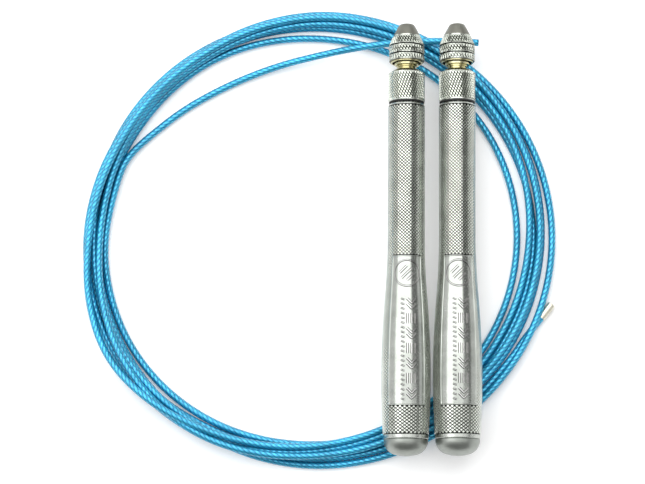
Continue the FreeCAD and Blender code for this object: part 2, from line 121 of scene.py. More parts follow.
def new_material(name):
    material = bpy.data.materials.new(name)
    material.use_nodes = True
    tree = material.node_tree
    shader = tree.nodes["Principled BSDF"]
    place = tree.nodes.new("ShaderNodeTexCoord").outputs["Object"]
    return material, tree, shader, place


def metal(name, dark, bright, roughness, turning=0.0, groove_shade=1.0, grain=0.15):
    """Bare metal: tone and polish vary over the piece, with turning marks round its axis. Where the mesh has
    a relief attribute, its grooves are painted darker, as shade, by the given factor."""
    material, tree, shader, place = new_material(name)
    cloud = noise(tree, place, 180.0, 4.0)
    tone = colour_ramp(tree, cloud, [(0.35, dark), (0.65, bright)])
    if groove_shade < 1.0:
        relief = tree.nodes.new("ShaderNodeAttribute")
        relief.attribute_name = "relief"
        # painted shade: the tone is scaled down towards the grooves, where the relief is low
        depth = value_range(tree, relief.outputs["Fac"], groove_shade, 1.0, 0.1, 0.65)
        mix = tree.nodes.new("ShaderNodeVectorMath")
        mix.operation = "SCALE"
        tree.links.new(tone, mix.inputs[0])
        tree.links.new(depth, mix.inputs["Scale"])
        tone = mix.outputs["Vector"]
    tree.links.new(tone, shader.inputs["Base Color"])
    shader.inputs["Metallic"].default_value = 1.0
    fine = noise(tree, place, 2600.0, 2.0)
    polish = value_range(tree, fine, roughness - 0.06, roughness + 0.08, 0.3, 0.7)
    tree.links.new(polish, shader.inputs["Roughness"])
    normal = None
    if grain:
        normal = bump(tree, fine, grain, 0.00004)
    if turning:
        rings = noise(tree, stretched(tree, place, (1.0, 900.0, 1.0)), 12.0, 3.0, 0.7)
        normal = bump(tree, rings, turning, 0.00005, normal)
    if normal is not None:
        tree.links.new(normal, shader.inputs["Normal"])
    return material


# the knurled finishes paint the knurls' grooves nearly black, as shade
KNURLED = metal(
    "knurled_aluminium_finish", (0.565, 0.59, 0.545), (0.67, 0.70, 0.65), 0.20, groove_shade=0.05, grain=0.0
)
HEAD_KNURL = metal(
    "head_knurl_finish", (0.53, 0.56, 0.50), (0.62, 0.655, 0.59), 0.20, groove_shade=0.05, grain=0.0
)
CAP_KNURL = metal(
    "cap_knurl_finish", (0.43, 0.455, 0.405), (0.51, 0.54, 0.485), 0.20, groove_shade=0.03, grain=0.0
)
SMOOTH = metal("smooth_aluminium_finish", (0.43, 0.45, 0.42), (0.51, 0.535, 0.50), 0.24, turning=0.25)
NOSE = metal(
    "nose_aluminium_finish", (0.150, 0.150, 0.128), (0.20, 0.20, 0.172), 0.42, turning=0.5, grain=0.4
)
END_CAP = metal("end_cap_finish", (0.28, 0.30, 0.275), (0.34, 0.36, 0.335), 0.38, grain=0.1)
PANEL_METAL = metal("panel_aluminium_finish", (0.37, 0.39, 0.36), (0.44, 0.46, 0.43), 0.20, grain=0.06)
MARK_TOP = metal("mark_top_finish", (0.56, 0.565, 0.55), (0.66, 0.665, 0.65), 0.18, grain=0.05)
# the marks' bevelled edges are painted dark, as shade
MARK_EDGE_SHADE = metal("mark_edge_painted_shade", (0.10, 0.10, 0.095), (0.16, 0.16, 0.15), 0.28)
STEEL = metal("steel_finish", (0.36, 0.36, 0.37), (0.50, 0.50, 0.51), 0.22, turning=0.3)
BRASS = metal("brass_finish", (0.40, 0.36, 0.17), (0.52, 0.48, 0.26), 0.17, turning=0.35)
# the bush's brass is painted dark in its recess, as shade
BUSH_BRASS = metal(
    "bush_brass_finish", (0.48, 0.45, 0.26), (0.60, 0.57, 0.36), 0.20, turning=0.35, groove_shade=0.15
)
CAGE_BRASS = metal("cage_brass_finish", (0.50, 0.36, 0.13), (0.62, 0.47, 0.20), 0.35, turning=0.2)
FERRULE = metal("ferrule_finish", (0.55, 0.53, 0.43), (0.70, 0.68, 0.58), 0.30, grain=0.4)


def rubber(name, colour, speck):
    """Matt black seal: slightly uneven tone with a fine moulded grain."""
    material, tree, shader, place = new_material(name)
    grainy = noise(tree, place, 1500.0, 4.0)
    tree.links.new(colour_ramp(tree, grainy, [(0.3, colour), (0.8, speck)]), shader.inputs["Base Color"])
    tree.links.new(value_range(tree, grainy, 0.45, 0.7), shader.inputs["Roughness"])
    tree.links.new(bump(tree, grainy, 0.3, 0.00005), shader.inputs["Normal"])
    return material


SEAL = rubber("seal_finish", (0.006, 0.006, 0.006), (0.02, 0.02, 0.018))

STRANDS_ROUND = 6.0


def cable_finish():
    """Clear blue coat over twisted wires: each wire's crown is painted lighter, as a highlight, and the
    hollows between wires darker, as shade.
    """
    material, tree, shader, place = new_material("blue_cable_finish")
    layout = tree.nodes.new("ShaderNodeUVMap")
    split = tree.nodes.new("ShaderNodeSeparateXYZ")
    tree.links.new(layout.outputs["UV"], split.inputs["Vector"])
    turns = tree.nodes.new("ShaderNodeMath")
    turns.operation = "MULTIPLY"
    turns.inputs[1].default_value = STRANDS_ROUND
    tree.links.new(split.outputs["Y"], turns.inputs[0])
    wire = tree.nodes.new("ShaderNodeMath")
    wire.operation = "PINGPONG"
    wire.inputs[1].default_value = 0.5
    tree.links.new(turns.outputs["Value"], wire.inputs[0])
    cloud = noise(tree, place, 90.0, 3.0)
    speckle = noise(tree, place, 1400.0, 3.0)
    wires = value_range(tree, wire.outputs["Value"], 0.0, 1.0, 0.0, 0.5)
    blend = tree.nodes.new("ShaderNodeMath")
    blend.operation = "MULTIPLY_ADD"
    blend.inputs[1].default_value = 0.75
    tree.links.new(wires, blend.inputs[0])
    tree.links.new(value_range(tree, speckle, 0.0, 0.3, 0.3, 0.7), blend.inputs[2])
    # painted highlight on each wire's crown, painted shade in the hollows between the wires
    tone = colour_ramp(
        tree, blend.outputs["Value"],
        [(0.0, (0.001, 0.085, 0.21)), (0.45, (0.008, 0.27, 0.51)), (1.0, (0.07, 0.58, 0.78))],
    )
    shade = tree.nodes.new("ShaderNodeVectorMath")
    shade.operation = "SCALE"
    tree.links.new(tone, shade.inputs[0])
    tree.links.new(value_range(tree, cloud, 0.85, 1.15, 0.3, 0.7), shade.inputs["Scale"])
    tree.links.new(shade.outputs["Vector"], shader.inputs["Base Color"])
    tree.links.new(value_range(tree, wires, 0.42, 0.25), shader.inputs["Roughness"])
    shader.inputs["Metallic"].default_value = 0.6
    shader.inputs["Coat Weight"].default_value = 0.55
    shader.inputs["Coat Roughness"].default_value = 0.12
    shader.inputs["Coat IOR"].default_value = 1.5
    tree.links.new(bump(tree, speckle, 0.12, 0.00005), shader.inputs["Normal"])
    return material


CABLE = cable_finish()


def floor_finish():
    material, tree, shader, place = new_material("floor_finish")
    paper = noise(tree, place, 40.0, 3.0)
    tone = colour_ramp(tree, paper, [(0.3, (0.92, 0.92, 0.92)), (0.7, (0.94, 0.94, 0.94))])
    tree.links.new(tone, shader.inputs["Base Color"])
    shader.inputs["Roughness"].default_value = 0.9
    shader.inputs["Specular IOR Level"].default_value = 0.1
    shader.inputs["Emission Color"].default_value = (1.0, 1.0, 1.0, 1.0)
    shader.inputs["Emission Strength"].default_value = 0.15
    return material


# ---------------------------------------------------------------- mesh helpers
def mesh_object(
    name, points, faces, materials, face_materials=None, smooth=None, sharp_angle=None, uvs=None, relief=None
):
    """A mesh piece from lists of points in metres and of faces. relief is 0 in a groove and 1 on a land."""
    mesh = bpy.data.meshes.new(name)
    mesh.from_pydata([tuple(p) for p in points], [], faces)
    for material in materials:
        mesh.materials.append(material)
    if face_materials is not None:
        mesh.polygons.foreach_set("material_index", face_materials)
    flags = [True] * len(faces) if smooth is None else smooth
    mesh.polygons.foreach_set("use_smooth", flags)
    if uvs is not None:
        layer = mesh.uv_layers.new(name="along")
        layer.data.foreach_set("uv", np.asarray(uvs, dtype=np.float32).ravel())
    if relief is not None:
        mesh.attributes.new("relief", "FLOAT", "POINT").data.foreach_set("value", relief)
    mesh.update()
    if sharp_angle is not None:
        mesh.set_sharp_from_angle(angle=math.radians(sharp_angle))
    piece = bpy.data.objects.new(name, mesh)
    bpy.context.scene.collection.objects.link(piece)
    return piece


# ---------------------------------------------------------------- cable
CABLE_DIAMETER = 2.6
CABLE_RADIUS = 0.5 * CABLE_DIAMETER
WIRE_RISE, WIRE_GROOVE = 0.07, 0.04
REST_HEIGHT = CABLE_RADIUS + WIRE_RISE
# the free tail, from its cut end beside the right head to where it joins the coil, in millimetres
TAIL = (
    (61.5, 77.7, 6.6), (50.0, 78.2, 6.7), (37.0, 78.0, 6.7), (24.0, 76.8, 6.7), (11.0, 74.6, 6.65),
    (-1.6, 72.1, 4.9), (-14.6, 69.2, 2.6), (-28.0, 64.4, 1.5), (-40.8, 58.2, 1.38), (-52.8, 51.0, 1.38),
    (-63.5, 42.3, 1.45), (-72.3, 34.2, 2.0), (-77.0, 26.0, 2.6),
)
# where each turn of the coil lies: its radius in millimetres every 30 degrees, counter-clockwise from +X.
# The first turn starts at 180 degrees, where the tail has joined, and the last one ends at 330.
TURNS = (
    (None, None, None, None, None, None, 81.9, 82.0, 80.0, 77.8, 78.3, 82.0),
    (84.9, 87.2, 88.0, 87.6, 85.0, 84.5, 87.2, 91.8, 84.2, 78.6, 75.4, 75.35),
    (76.4, 78.0, 79.0, 79.9, 82.2, 82.2, 84.5, 84.7, 85.3, 85.8, 86.2, 87.9),
    (89.9, 90.6, 89.8, 89.3, 86.3, 86.0, 88.5, 88.8, 86.6, 80.3, 77.8, 78.3),
    (80.8, 84.5, 85.2, 85.4, 83.6, 83.4, 83.2, 87.0, 86.9, 82.2, 80.5, 80.7),
    (82.7, 83.3, 83.7, 84.2, 84.9, 84.7, 87.1, 87.2, 82.7, 80.6, 81.0, 83.4),
    (85.7, 88.0, 86.8, 86.9, 87.6, 87.2, 85.8, 85.8, 84.0, 83.2, 83.6, 86.0),
)
# which turn lies under which, lowest first, before and after the direction where they change over
LOW_TO_HIGH = (5, 2, 0, 6, 3, 4, 1)
LOW_TO_HIGH_LATE = (1, 4, 5, 6, 2, 3, 0)
CHANGE_OVER = 315
# the butts lie on the coil and press its turns down: the highest that a turn may be in these directions
PRESSED = {285: 5.4, 300: 4.0, 315: 4.0, 330: 5.4}
# the last stretch, which comes out under the outermost turn into the ferrule
COIL_END = ((78.0, -38.5, 1.42), (82.3, -32.9, 1.6), (85.4, -29.0, 1.75), (88.2, -25.4, 1.75))
STEP = 15
SETTLE_ROUNDS = 4


def coil_points():
    """The coil's control points. A turn is laid on the turns under it, and the stiff cable bridges dips."""
    radii = [r for turn in TURNS for r in turn if r is not None]
    radii = [radii[0]] + radii + [radii[-1]]
    start = 180
    stations = {}
    for k in range(1, len(radii) - 1):
        here = start + 30 * (k - 1)
        stations[here] = radii[k]
        if k < len(radii) - 2:
            near = radii[k] + radii[k + 1]
            far = radii[k - 1] + radii[k + 2]
            # half way between two listed radii, on the cubic through the four nearest
            stations[here + STEP] = (9.0 * near - far) / 16.0
    angles = sorted(stations)
    heights = {a: 0.0 for a in angles}
    for _ in range(SETTLE_ROUNDS):
        smooth = {}
        for angle in angles:
            level = heights[angle]
            before, after = heights.get(angle - STEP, level), heights.get(angle + STEP, level)
            smooth[angle] = 0.25 * before + 0.5 * level + 0.25 * after
        for direction in range(0, 360, STEP):
            order = LOW_TO_HIGH if direction < CHANGE_OVER else LOW_TO_HIGH_LATE
            under = []
            for turn in order:
                angle = direction + 360 * turn
                if angle not in stations:
                    continue
                height = max(REST_HEIGHT, smooth[angle])
                for other in under:
                    apart = abs(stations[angle] - stations[other])
                    if apart < CABLE_DIAMETER:
                        height = max(height, heights[other] + math.sqrt(CABLE_DIAMETER**2 - apart**2))
                heights[angle] = min(height, PRESSED.get(direction, height))
                under.append(angle)
    # the spline touches its control polygon in the middle of each side, so the corners stand out
    outward = 1.0 / math.cos(math.radians(0.5 * STEP))
    points = []
    for angle in angles:
        turned = math.radians(angle)
        radius = stations[angle] * outward
        points.append((radius * math.cos(turned), radius * math.sin(turned), heights[angle]))
    return points


def cable_route():
    """The cable's centreline: one smooth NURBS spline through the tail and the coil."""
    curve = bpy.data.curves.new("cable_route", "CURVE")
    curve.dimensions = "3D"
    curve.resolution_u = 24
    spline = curve.splines.new("NURBS")
    points = list(TAIL) + coil_points() + list(COIL_END)
    spline.points.add(len(points) - 1)
    for control, (x, y, z) in zip(spline.points, points):
        control.co = (x * MM, y * MM, z * MM, 1.0)
    spline.order_u = 3
    spline.use_endpoint_u = True
    route = bpy.data.objects.new("cable_route", curve)
    bpy.context.scene.collection.objects.link(route)
    bpy.context.view_layer.update()
    line = bpy.data.meshes.new_from_object(route)
    places = np.array([v.co[:] for v in line.vertices])
    bpy.data.objects.remove(route)
    return places


WIRE_LAY = 13.2
RING_SPACING = 0.9


def evenly_spaced(line, spacing):
    runs = np.linalg.norm(np.diff(line, axis=0), axis=1)
    along = np.concatenate([[0.0], np.cumsum(runs)])
    marks = np.linspace(0.0, along[-1], int(round(along[-1] / spacing)) + 1)
    return np.stack([np.interp(marks, along, line[:, k]) for k in range(3)], axis=1), marks


def cable_tube(line):
    """The coated cable: the coat follows the twisted wires in six shallow lobes, three columns to a lobe."""
    places, marks = evenly_spaced(line, RING_SPACING * MM)
    ahead = np.gradient(places, axis=0)
    ahead /= np.linalg.norm(ahead, axis=1)[:, None]
    side = np.cross(ahead[0], (0.0, 0.0, 1.0))
    side /= np.linalg.norm(side)
    columns = int(3 * STRANDS_ROUND)
    lobe = np.array([WIRE_RISE, -WIRE_GROOVE, WIRE_RISE] * int(STRANDS_ROUND)) * MM
    points = []
    for place, along, mark in zip(places, ahead, marks):
        side = side - along * np.dot(side, along)
        side /= np.linalg.norm(side)
        across = np.cross(along, side)
        turn = 2.0 * math.pi * (np.arange(columns) / columns + mark / (WIRE_LAY * MM))
        radius = CABLE_RADIUS * MM + lobe
        points.append(
            place + np.outer(radius * np.cos(turn), side) + np.outer(radius * np.sin(turn), across)
        )
    rings = len(points)
    faces, uvs = [], []
    for r in range(rings - 1):
        for c in range(columns):
            d = (c + 1) % columns
            faces.append((r * columns + c, r * columns + d, (r + 1) * columns + d, (r + 1) * columns + c))
            u, w = marks[r], marks[r + 1]
            v, x = (c + 0.5) / columns, (c + 1.5) / columns
            uvs += [(u, v), (u, x), (w, x), (w, v)]
    faces.append(tuple(reversed(range(columns))))
    uvs += [(0.0, 0.1)] * columns
    faces.append(tuple(range((rings - 1) * columns, rings * columns)))
    uvs += [(marks[-1], 0.1)] * columns
    smooth = [True] * (len(faces) - 2) + [False, False]
    piece = mesh_object("cable", np.concatenate(points), faces, [CABLE], None, smooth, None, uvs)
    return piece, places, marks[-1]


route = cable_route()
cable, cable_path, cable_length = cable_tube(route)
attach(cable, "cable")
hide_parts("cable_coil", "cable_tail")


# ---------------------------------------------------------------- turned and knurled parts of a handle
# how far under the outside a knurl's first and last rows lie where its grooves run out
RUN_OUT_DEPTH = 0.05


class Lathe:
    """Builds one turned solid on a handle's axis. Stations are millimetres back from the nose tip."""

    def __init__(self, side, columns):
        low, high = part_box(f"{side}_spindle")
        self.x = 0.5 * (low.x + high.x)
        self.z = 0.5 * (low.z + high.z)
        self.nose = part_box(f"{side}_nose_cap")[1].y
        self.columns = columns
        self.points, self.faces, self.looks, self.smooth, self.relief = [], [], [], [], []
        self.first = self.row = None

    def spot(self, station, radius, turn):
        """A place in metres: turn is measured from straight up, to the right."""
        across, up = radius * MM * math.sin(turn), radius * MM * math.cos(turn)
        return self.x + across, self.nose - station * MM, self.z + up

    def add(self, station, radius, column, twist=0.0, relief=1.0):
        self.relief.append(relief)
        turn = 2.0 * math.pi * column / self.columns + twist
        self.points.append(self.spot(station, radius, turn))
        return len(self.points) - 1

    def face(self, corners, look, smooth):
        self.faces.append(corners)
        self.looks.append(look)
        self.smooth.append(smooth)

    def join(self, row, look, smooth=True):
        for c in range(self.columns):
            d = (c + 1) % self.columns
            self.face((self.row[c], row[c], row[d], self.row[d]), look, smooth)

    def ring(self, station, radius, look=0, relief=1.0):
        row = [self.add(station, radius, c, 0.0, relief) for c in range(self.columns)]
        if self.first is None:
            self.first = row
        else:
            self.join(row, look)
        self.row = row

    def rings(self, stations_and_radii, look=0):
        for station, radius in stations_and_radii:
            self.ring(station, radius, look)

    def knurl(
        self, start, end, rows, radius_at, depth, land=0.6, lean=0.0, look=0, sunk=None, full_ends=False
    ):
        """Diamond knurl: flat-topped pyramids with grooves along both slants. Where sunk(column, row) says
        so, it is smooth and low, as a seat for a panel. With full_ends the grooves run out at the ends."""
        pitch = (end - start) / rows
        lattice = {}

        def twist(row):
            return lean * (row * pitch)

        def corner(column, row):
            key = (column % self.columns, row)
            if key not in lattice:
                station = start + row * pitch
                low = SEAT_DEPTH if sunk and sunk(key[0], row) else depth
                if full_ends and row in (0, rows):
                    lattice[key] = self.add(station, radius_at(station) - RUN_OUT_DEPTH, key[0], twist(row))
                else:
                    # valley corners have relief 0, where the finish paints shade
                    lattice[key] = self.add(station, radius_at(station) - low, key[0], twist(row), 0.0)
            return lattice[key]

        self.join([corner(c, 0) for c in range(self.columns)], look)
        for c in range(1, self.columns, 2):
            self.face((corner(c - 1, 0), corner(c, 1), corner(c, 0)), look, False)
            self.face((corner(c, 0), corner(c, 1), corner(c + 1, 0)), look, False)
        for row in range(1, rows):
            for c in range(1 - row % 2, self.columns, 2):
                ring_of_four = ((c + 1, row), (c, row - 1), (c - 1, row), (c, row + 1))
                corners = [corner(*place) for place in ring_of_four]
                if sunk and sunk(c % self.columns, row):
                    self.face(tuple(corners), look, True)
                    continue
                tops = []
                for column, line in ring_of_four:
                    at_row = row + land * (line - row)
                    station = start + at_row * pitch
                    tops.append(self.add(station, radius_at(station), c + land * (column - c), twist(at_row)))
                self.face(tuple(tops), look, False)
                for k in range(4):
                    n = (k + 1) % 4
                    self.face((corners[k], corners[n], tops[n], tops[k]), look, False)
        for c in range(1 - rows % 2, self.columns, 2):
            self.face((corner(c - 1, rows), corner(c, rows), corner(c, rows - 1)), look, False)
            self.face((corner(c, rows), corner(c + 1, rows), corner(c, rows - 1)), look, False)
        self.row = [corner(c, rows) for c in range(self.columns)]

    def finish(self, name, materials):
        self.join(self.first, 0)
        return mesh_object(
            name, self.points, self.faces, materials, self.looks, self.smooth, 30.0, relief=self.relief
        )


SEAT_DEPTH = 0.75
GRIP_COLUMNS = 66
PANEL_HALF_COLUMNS = 9
GRIP_KNURL = (32.4, 157.3)
GRIP_ROWS = 200
# (station, radius) outlines: the smooth bands in front of and behind the grip's knurl, and its bore
FRONT_BAND = ((31.35, 5.0), (31.35, 6.5), (31.42, 6.57), (32.05, 6.95), (32.12, 7.0), (32.3, 7.0))
REAR_BAND = ((157.42, 8.52), (157.5, 8.58), (158.6, 8.51), (158.68, 8.49), (158.93, 8.24), (158.95, 8.2))
GRIP_BORE = (
    (158.95, 6.2), (100.0, 6.2), (100.0, 5.0), (55.0, 5.0), (55.0, 4.4), (37.5, 4.4), (37.5, 5.0),
    (33.45, 5.0), (33.45, 5.35), (32.65, 5.35), (32.65, 5.0),
)
GRIP_KNURL_DEPTH = 0.32
PANEL = (90.4, 146.9)
SLIM_RADIUS, SWELL_START, SWELL_END, SWELL_ARC = 7.0, 82.0, 105.0, 275.0
BULGE_STATION, BULGE_RADIUS, BULGE_ARC = 135.6, 9.245, 365.5


def grip_radius(station):
    """The grip's outside: slim in front, then a hollow arc that meets the long crowned arc of the butt."""
    if station <= SWELL_START:
        return SLIM_RADIUS
    if station <= SWELL_END:
        return SLIM_RADIUS + SWELL_ARC - math.sqrt(SWELL_ARC**2 - (station - SWELL_START) ** 2)
    return BULGE_RADIUS - BULGE_ARC + math.sqrt(BULGE_ARC**2 - (station - BULGE_STATION) ** 2)


def in_panel(column, row):
    station = GRIP_KNURL[0] + row * (GRIP_KNURL[1] - GRIP_KNURL[0]) / GRIP_ROWS
    near = min(column, GRIP_COLUMNS - column) < PANEL_HALF_COLUMNS
    return near and PANEL[0] < station < PANEL[1]


def grip(side):
    lathe = Lathe(side, GRIP_COLUMNS)
    lathe.rings(FRONT_BAND, 1)
    lathe.knurl(*GRIP_KNURL, GRIP_ROWS, grip_radius, GRIP_KNURL_DEPTH, sunk=in_panel)
    lathe.rings(REAR_BAND, 1)
    lathe.rings(GRIP_BORE, 1)
    piece = lathe.finish(f"{side}_grip", [KNURLED, SMOOTH])
    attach(piece, f"{side}_grip")
    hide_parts(f"{side}_grip_shell")
    return lathe


HEAD_COLUMNS, CAP_COLUMNS = 78, 72
HEAD_LEAN = 0.036
HEAD_KNURL_DEPTH = 0.34
CAP_LAND = 0.52
# the cap's knurled bands, each from one station to another with so many rows of diamonds
CAP_BANDS = ((4.85, 8.45, 4), (8.97, 11.9, 3), (12.42, 14.6, 2))
CAP_FULL_STATION, SHOULDER_SLOPE = 8.2, 0.375
# the turned grooves: their two edges, measured back from the band in front, and the radius of their floor
CAP_GROOVE_EDGES, CAP_GROOVE_RADIUS = (0.05, 0.47), 6.4
COLLAR_BAND, COLLAR_RADIUS = (19.4, 30.4, 12), 6.95
# (station, radius) outlines of the smooth ends and bores
NOSE_TIP = ((0.0, 1.5), (0.0, 2.2), (0.05, 2.42), (0.25, 2.78))
CONE_STATIONS = (0.6, 1.5, 2.5, 3.5, 4.2, 4.65)
CAP_MOUTH = (
    (14.66, 6.68), (14.73, 6.62), (14.8, 6.5), (14.8, 6.2), (14.74, 6.15), (12.9, 6.15),
    (12.9, 4.2), (8.2, 4.2), (8.2, 3.3), (4.8, 1.9), (4.8, 1.5),
)
BUSH_RIM = ((12.9, 3.9), (12.9, 6.15), (15.12, 6.15), (15.24, 6.08), (15.3, 5.92), (15.3, 5.62))
BUSH_RECESS = ((15.2, 5.55), (14.6, 5.5), (14.6, 4.8), (15.5, 4.72))
BUSH_STEP = ((15.6, 4.7), (16.1, 4.7), (16.2, 4.58), (16.2, 4.0), (16.1, 3.9))
COLLAR_FRONT = ((18.1, 4.6), (18.1, 4.85), (18.16, 4.98), (19.3, 6.7))
COLLAR_REAR = ((30.48, 6.9), (30.55, 6.84), (30.6, 6.75), (30.6, 3.0), (27.0, 3.0), (27.0, 4.6))
CONE_START, CONE_END, CONE_BULGE, CAP_RADIUS = (0.6, 3.1), (7.8, 6.6), 0.14, 6.75


def cap_radius(station):
    """The cap's outside: a slightly bulging cone, a short flatter shoulder, and the full width."""
    if station >= CAP_FULL_STATION:
        return CAP_RADIUS
    share = (station - CONE_START[0]) / (CONE_END[0] - CONE_START[0])
    if share >= 1.0:
        return CONE_END[1] + SHOULDER_SLOPE * (station - CONE_END[0])
    return CONE_START[1] + (CONE_END[1] - CONE_START[1]) * share + CONE_BULGE * math.sin(math.pi * share)


def head(side):
    """The nose cap with its two turned grooves, the brass ring in its mouth, and the collar."""
    cap = Lathe(side, CAP_COLUMNS)
    cap.rings(NOSE_TIP, 1)
    cap.rings([(s, cap_radius(s)) for s in CONE_STATIONS], 1)
    for band in CAP_BANDS:
        cap.knurl(*band, cap_radius, HEAD_KNURL_DEPTH, CAP_LAND, HEAD_LEAN, full_ends=True)
        if band is not CAP_BANDS[-1]:
            for edge in CAP_GROOVE_EDGES:
                # the groove floors have relief 0, so the finish paints them dark as shade
                cap.ring(band[1] + edge, CAP_GROOVE_RADIUS, relief=0.0)
    cap.rings(CAP_MOUTH, 1)
    piece = cap.finish(f"{side}_cap", [CAP_KNURL, NOSE])
    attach(piece, f"{side}_cap")
    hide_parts(f"{side}_nose_cap")

    bush = Lathe(side, HEAD_COLUMNS)
    bush.rings(BUSH_RIM)
    # the recess rings have relief 0, so the brass there is painted dark as shade
    for station, radius in BUSH_RECESS:
        bush.ring(station, radius, relief=0.0)
    bush.rings(BUSH_STEP)
    piece = bush.finish(f"{side}_bush_ring", [BUSH_BRASS])
    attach(piece, f"{side}_cap")
    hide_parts(f"{side}_cap_bush")

    collar = Lathe(side, HEAD_COLUMNS)
    collar.rings(COLLAR_FRONT, 1)
    collar.knurl(*COLLAR_BAND, lambda s: COLLAR_RADIUS, HEAD_KNURL_DEPTH, lean=HEAD_LEAN, full_ends=True)
    collar.rings(COLLAR_REAR, 1)
    piece = collar.finish(f"{side}_collar_sleeve", [HEAD_KNURL, SMOOTH])
    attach(piece, f"{side}_spindle")
    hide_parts(f"{side}_collar")


# ---------------------------------------------------------------- smooth label panel with plain generic marks
PANEL_HALF_ANGLE = math.radians(48.7)
PANEL_GAPS = (0.0, 0.05)
PANEL_FLOOR = 0.2
SEAT_CLEARANCE = 0.08
# spacing of the panel's grid, round the grip and along it
PANEL_GRID = (0.5, 0.8)
# the rim's outline across: distance in from the panel's edge, and height over the grip's outside
RIM = ((0.0, -0.26), (0.10, -0.02), (0.16, 0.0), (0.36, 0.0), (0.42, -0.03), (0.56, -PANEL_FLOOR))


def border_steps(length, step):
    """Grid lines across the panel: close together over both rims, even between them."""
    rim = [d for d, _ in RIM]
    inner = length - 2.0 * rim[-1]
    count = max(2, int(round(inner / step)))
    middle = [rim[-1] + inner * k / count for k in range(1, count)]
    return rim + middle + [length - d for d in reversed(rim)]


def rim_height(distance):
    return float(np.interp(distance, [d for d, _ in RIM], [h for _, h in RIM]))


def label_panel(side, lathe):
    """A closed curved plate: a raised rim all round a smooth floor."""
    half = PANEL_HALF_ANGLE
    width = 2.0 * half * BULGE_RADIUS
    across = border_steps(width, PANEL_GRID[0])
    along = border_steps(PANEL[1] - PANEL[0] - sum(PANEL_GAPS), PANEL_GRID[1])
    points, faces = [], []

    def place(station, share, lift):
        turn = -half + 2.0 * half * share
        points.append(lathe.spot(station, grip_radius(station) + lift, turn))

    for v in along:
        for u in across:
            edge = min(u, width - u, v, along[-1] - v)
            place(PANEL[0] + PANEL_GAPS[0] + v, u / width, rim_height(edge))
    top = len(points)
    for v in along:
        for u in across:
            place(PANEL[0] + PANEL_GAPS[0] + v, u / width, -SEAT_DEPTH + SEAT_CLEARANCE)
    wide, tall = len(across), len(along)
    for r in range(tall - 1):
        for c in range(wide - 1):
            a, b = r * wide + c, (r + 1) * wide + c
            faces.append((a, b, b + 1, a + 1))
            faces.append((top + a, top + a + 1, top + b + 1, top + b))
    loop = list(range(wide))
    loop += [r * wide + wide - 1 for r in range(1, tall)]
    loop += [(tall - 1) * wide + c for c in range(wide - 2, -1, -1)]
    loop += [r * wide for r in range(tall - 2, 0, -1)]
    for a, b in zip(loop, loop[1:] + loop[:1]):
        faces.append((a, b, top + b, top + a))
    piece = mesh_object(f"{side}_label_panel", points, faces, [PANEL_METAL], sharp_angle=35.0)
    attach(piece, f"{side}_grip")
    return piece


MARK_HEIGHT, MARK_ROOT, STROKE_STEP = 0.22, -0.05, 0.6


class PanelMarks:
    """Raised strokes on the panel's floor. u runs round the grip and v back from the nose, in millimetres."""

    def __init__(self, lathe):
        self.lathe = lathe
        self.points, self.faces, self.looks = [], [], []

    def put(self, u, v, lift):
        floor = grip_radius(v) - PANEL_FLOOR
        self.points.append(self.lathe.spot(v, floor + lift, u / floor))

    def stroke(self, path, width, edge, closed=False):
        """A raised line along a path of (u, v) points: a bright flat top between two bevelled edges painted
        dark as shade.
        """
        path = np.array(path, dtype=float)
        ring = np.vstack([path, path[:1]]) if closed else path
        steps = [ring[0]]
        for a, b in zip(ring[:-1], ring[1:]):
            count = max(1, int(math.ceil(np.linalg.norm(b - a) / STROKE_STEP)))
            steps += [a + (b - a) * k / count for k in range(1, count + 1)]
        line = np.array(steps[:-1] if closed else steps)
        if closed:
            ahead = np.roll(line, -1, axis=0) - np.roll(line, 1, axis=0)
        else:
            ahead = np.gradient(line, axis=0)
        ahead /= np.linalg.norm(ahead, axis=1)[:, None]
        out = np.stack([ahead[:, 1], -ahead[:, 0]], axis=1)
        half = 0.5 * width
        section = (
            (-half, MARK_ROOT), (-half + edge, MARK_HEIGHT), (half - edge, MARK_HEIGHT), (half, MARK_ROOT)
        )
        base = len(self.points)
        for here, normal in zip(line, out):
            for offset, lift in section:
                spot = here + normal * offset
                self.put(spot[0], spot[1], lift)
        count = len(line)
        for k in range(count if closed else count - 1):
            a, b = base + 4 * k, base + 4 * ((k + 1) % count)
            for j in range(4):
                i = (j + 1) % 4
                self.faces.append((a + j, b + j, b + i, a + i))
                # the top face takes the bright finish; the bevels take the dark one, which paints shade
                self.looks.append(0 if j == 1 else 1)
        if not closed:
            last = base + 4 * (count - 1)
            self.faces += [(base, base + 1, base + 2, base + 3), (last + 3, last + 2, last + 1, last)]
            self.looks += [1, 1]


EMBLEM_CENTRE = (0.0, 97.3)
EMBLEM_RADIUS = 4.95
# each slanting bar in the emblem: how far it is off the centre, and half its length
EMBLEM_BARS, DIAGONAL = ((-2.0, 1.9), (0.0, 2.8), (2.0, 1.9)), 0.7
BAND_START = 107.0
SIGNS, SIGN_PITCH = 7, 5.6
TICKS, TICK_PITCH = 22, 1.78
# each look of stroke: its width, and how much of it each bevelled edge takes
RING_STROKE, EMBLEM_STROKE, SIGN_STROKE, TICK_STROKE = (0.9, 0.36), (1.1, 0.4), (1.15, 0.4), (0.8, 0.34)


def circle(centre, radius, count=40):
    turns = [2 * math.pi * k / count for k in range(count)]
    return [(centre[0] + radius * math.cos(t), centre[1] + radius * math.sin(t)) for t in turns]


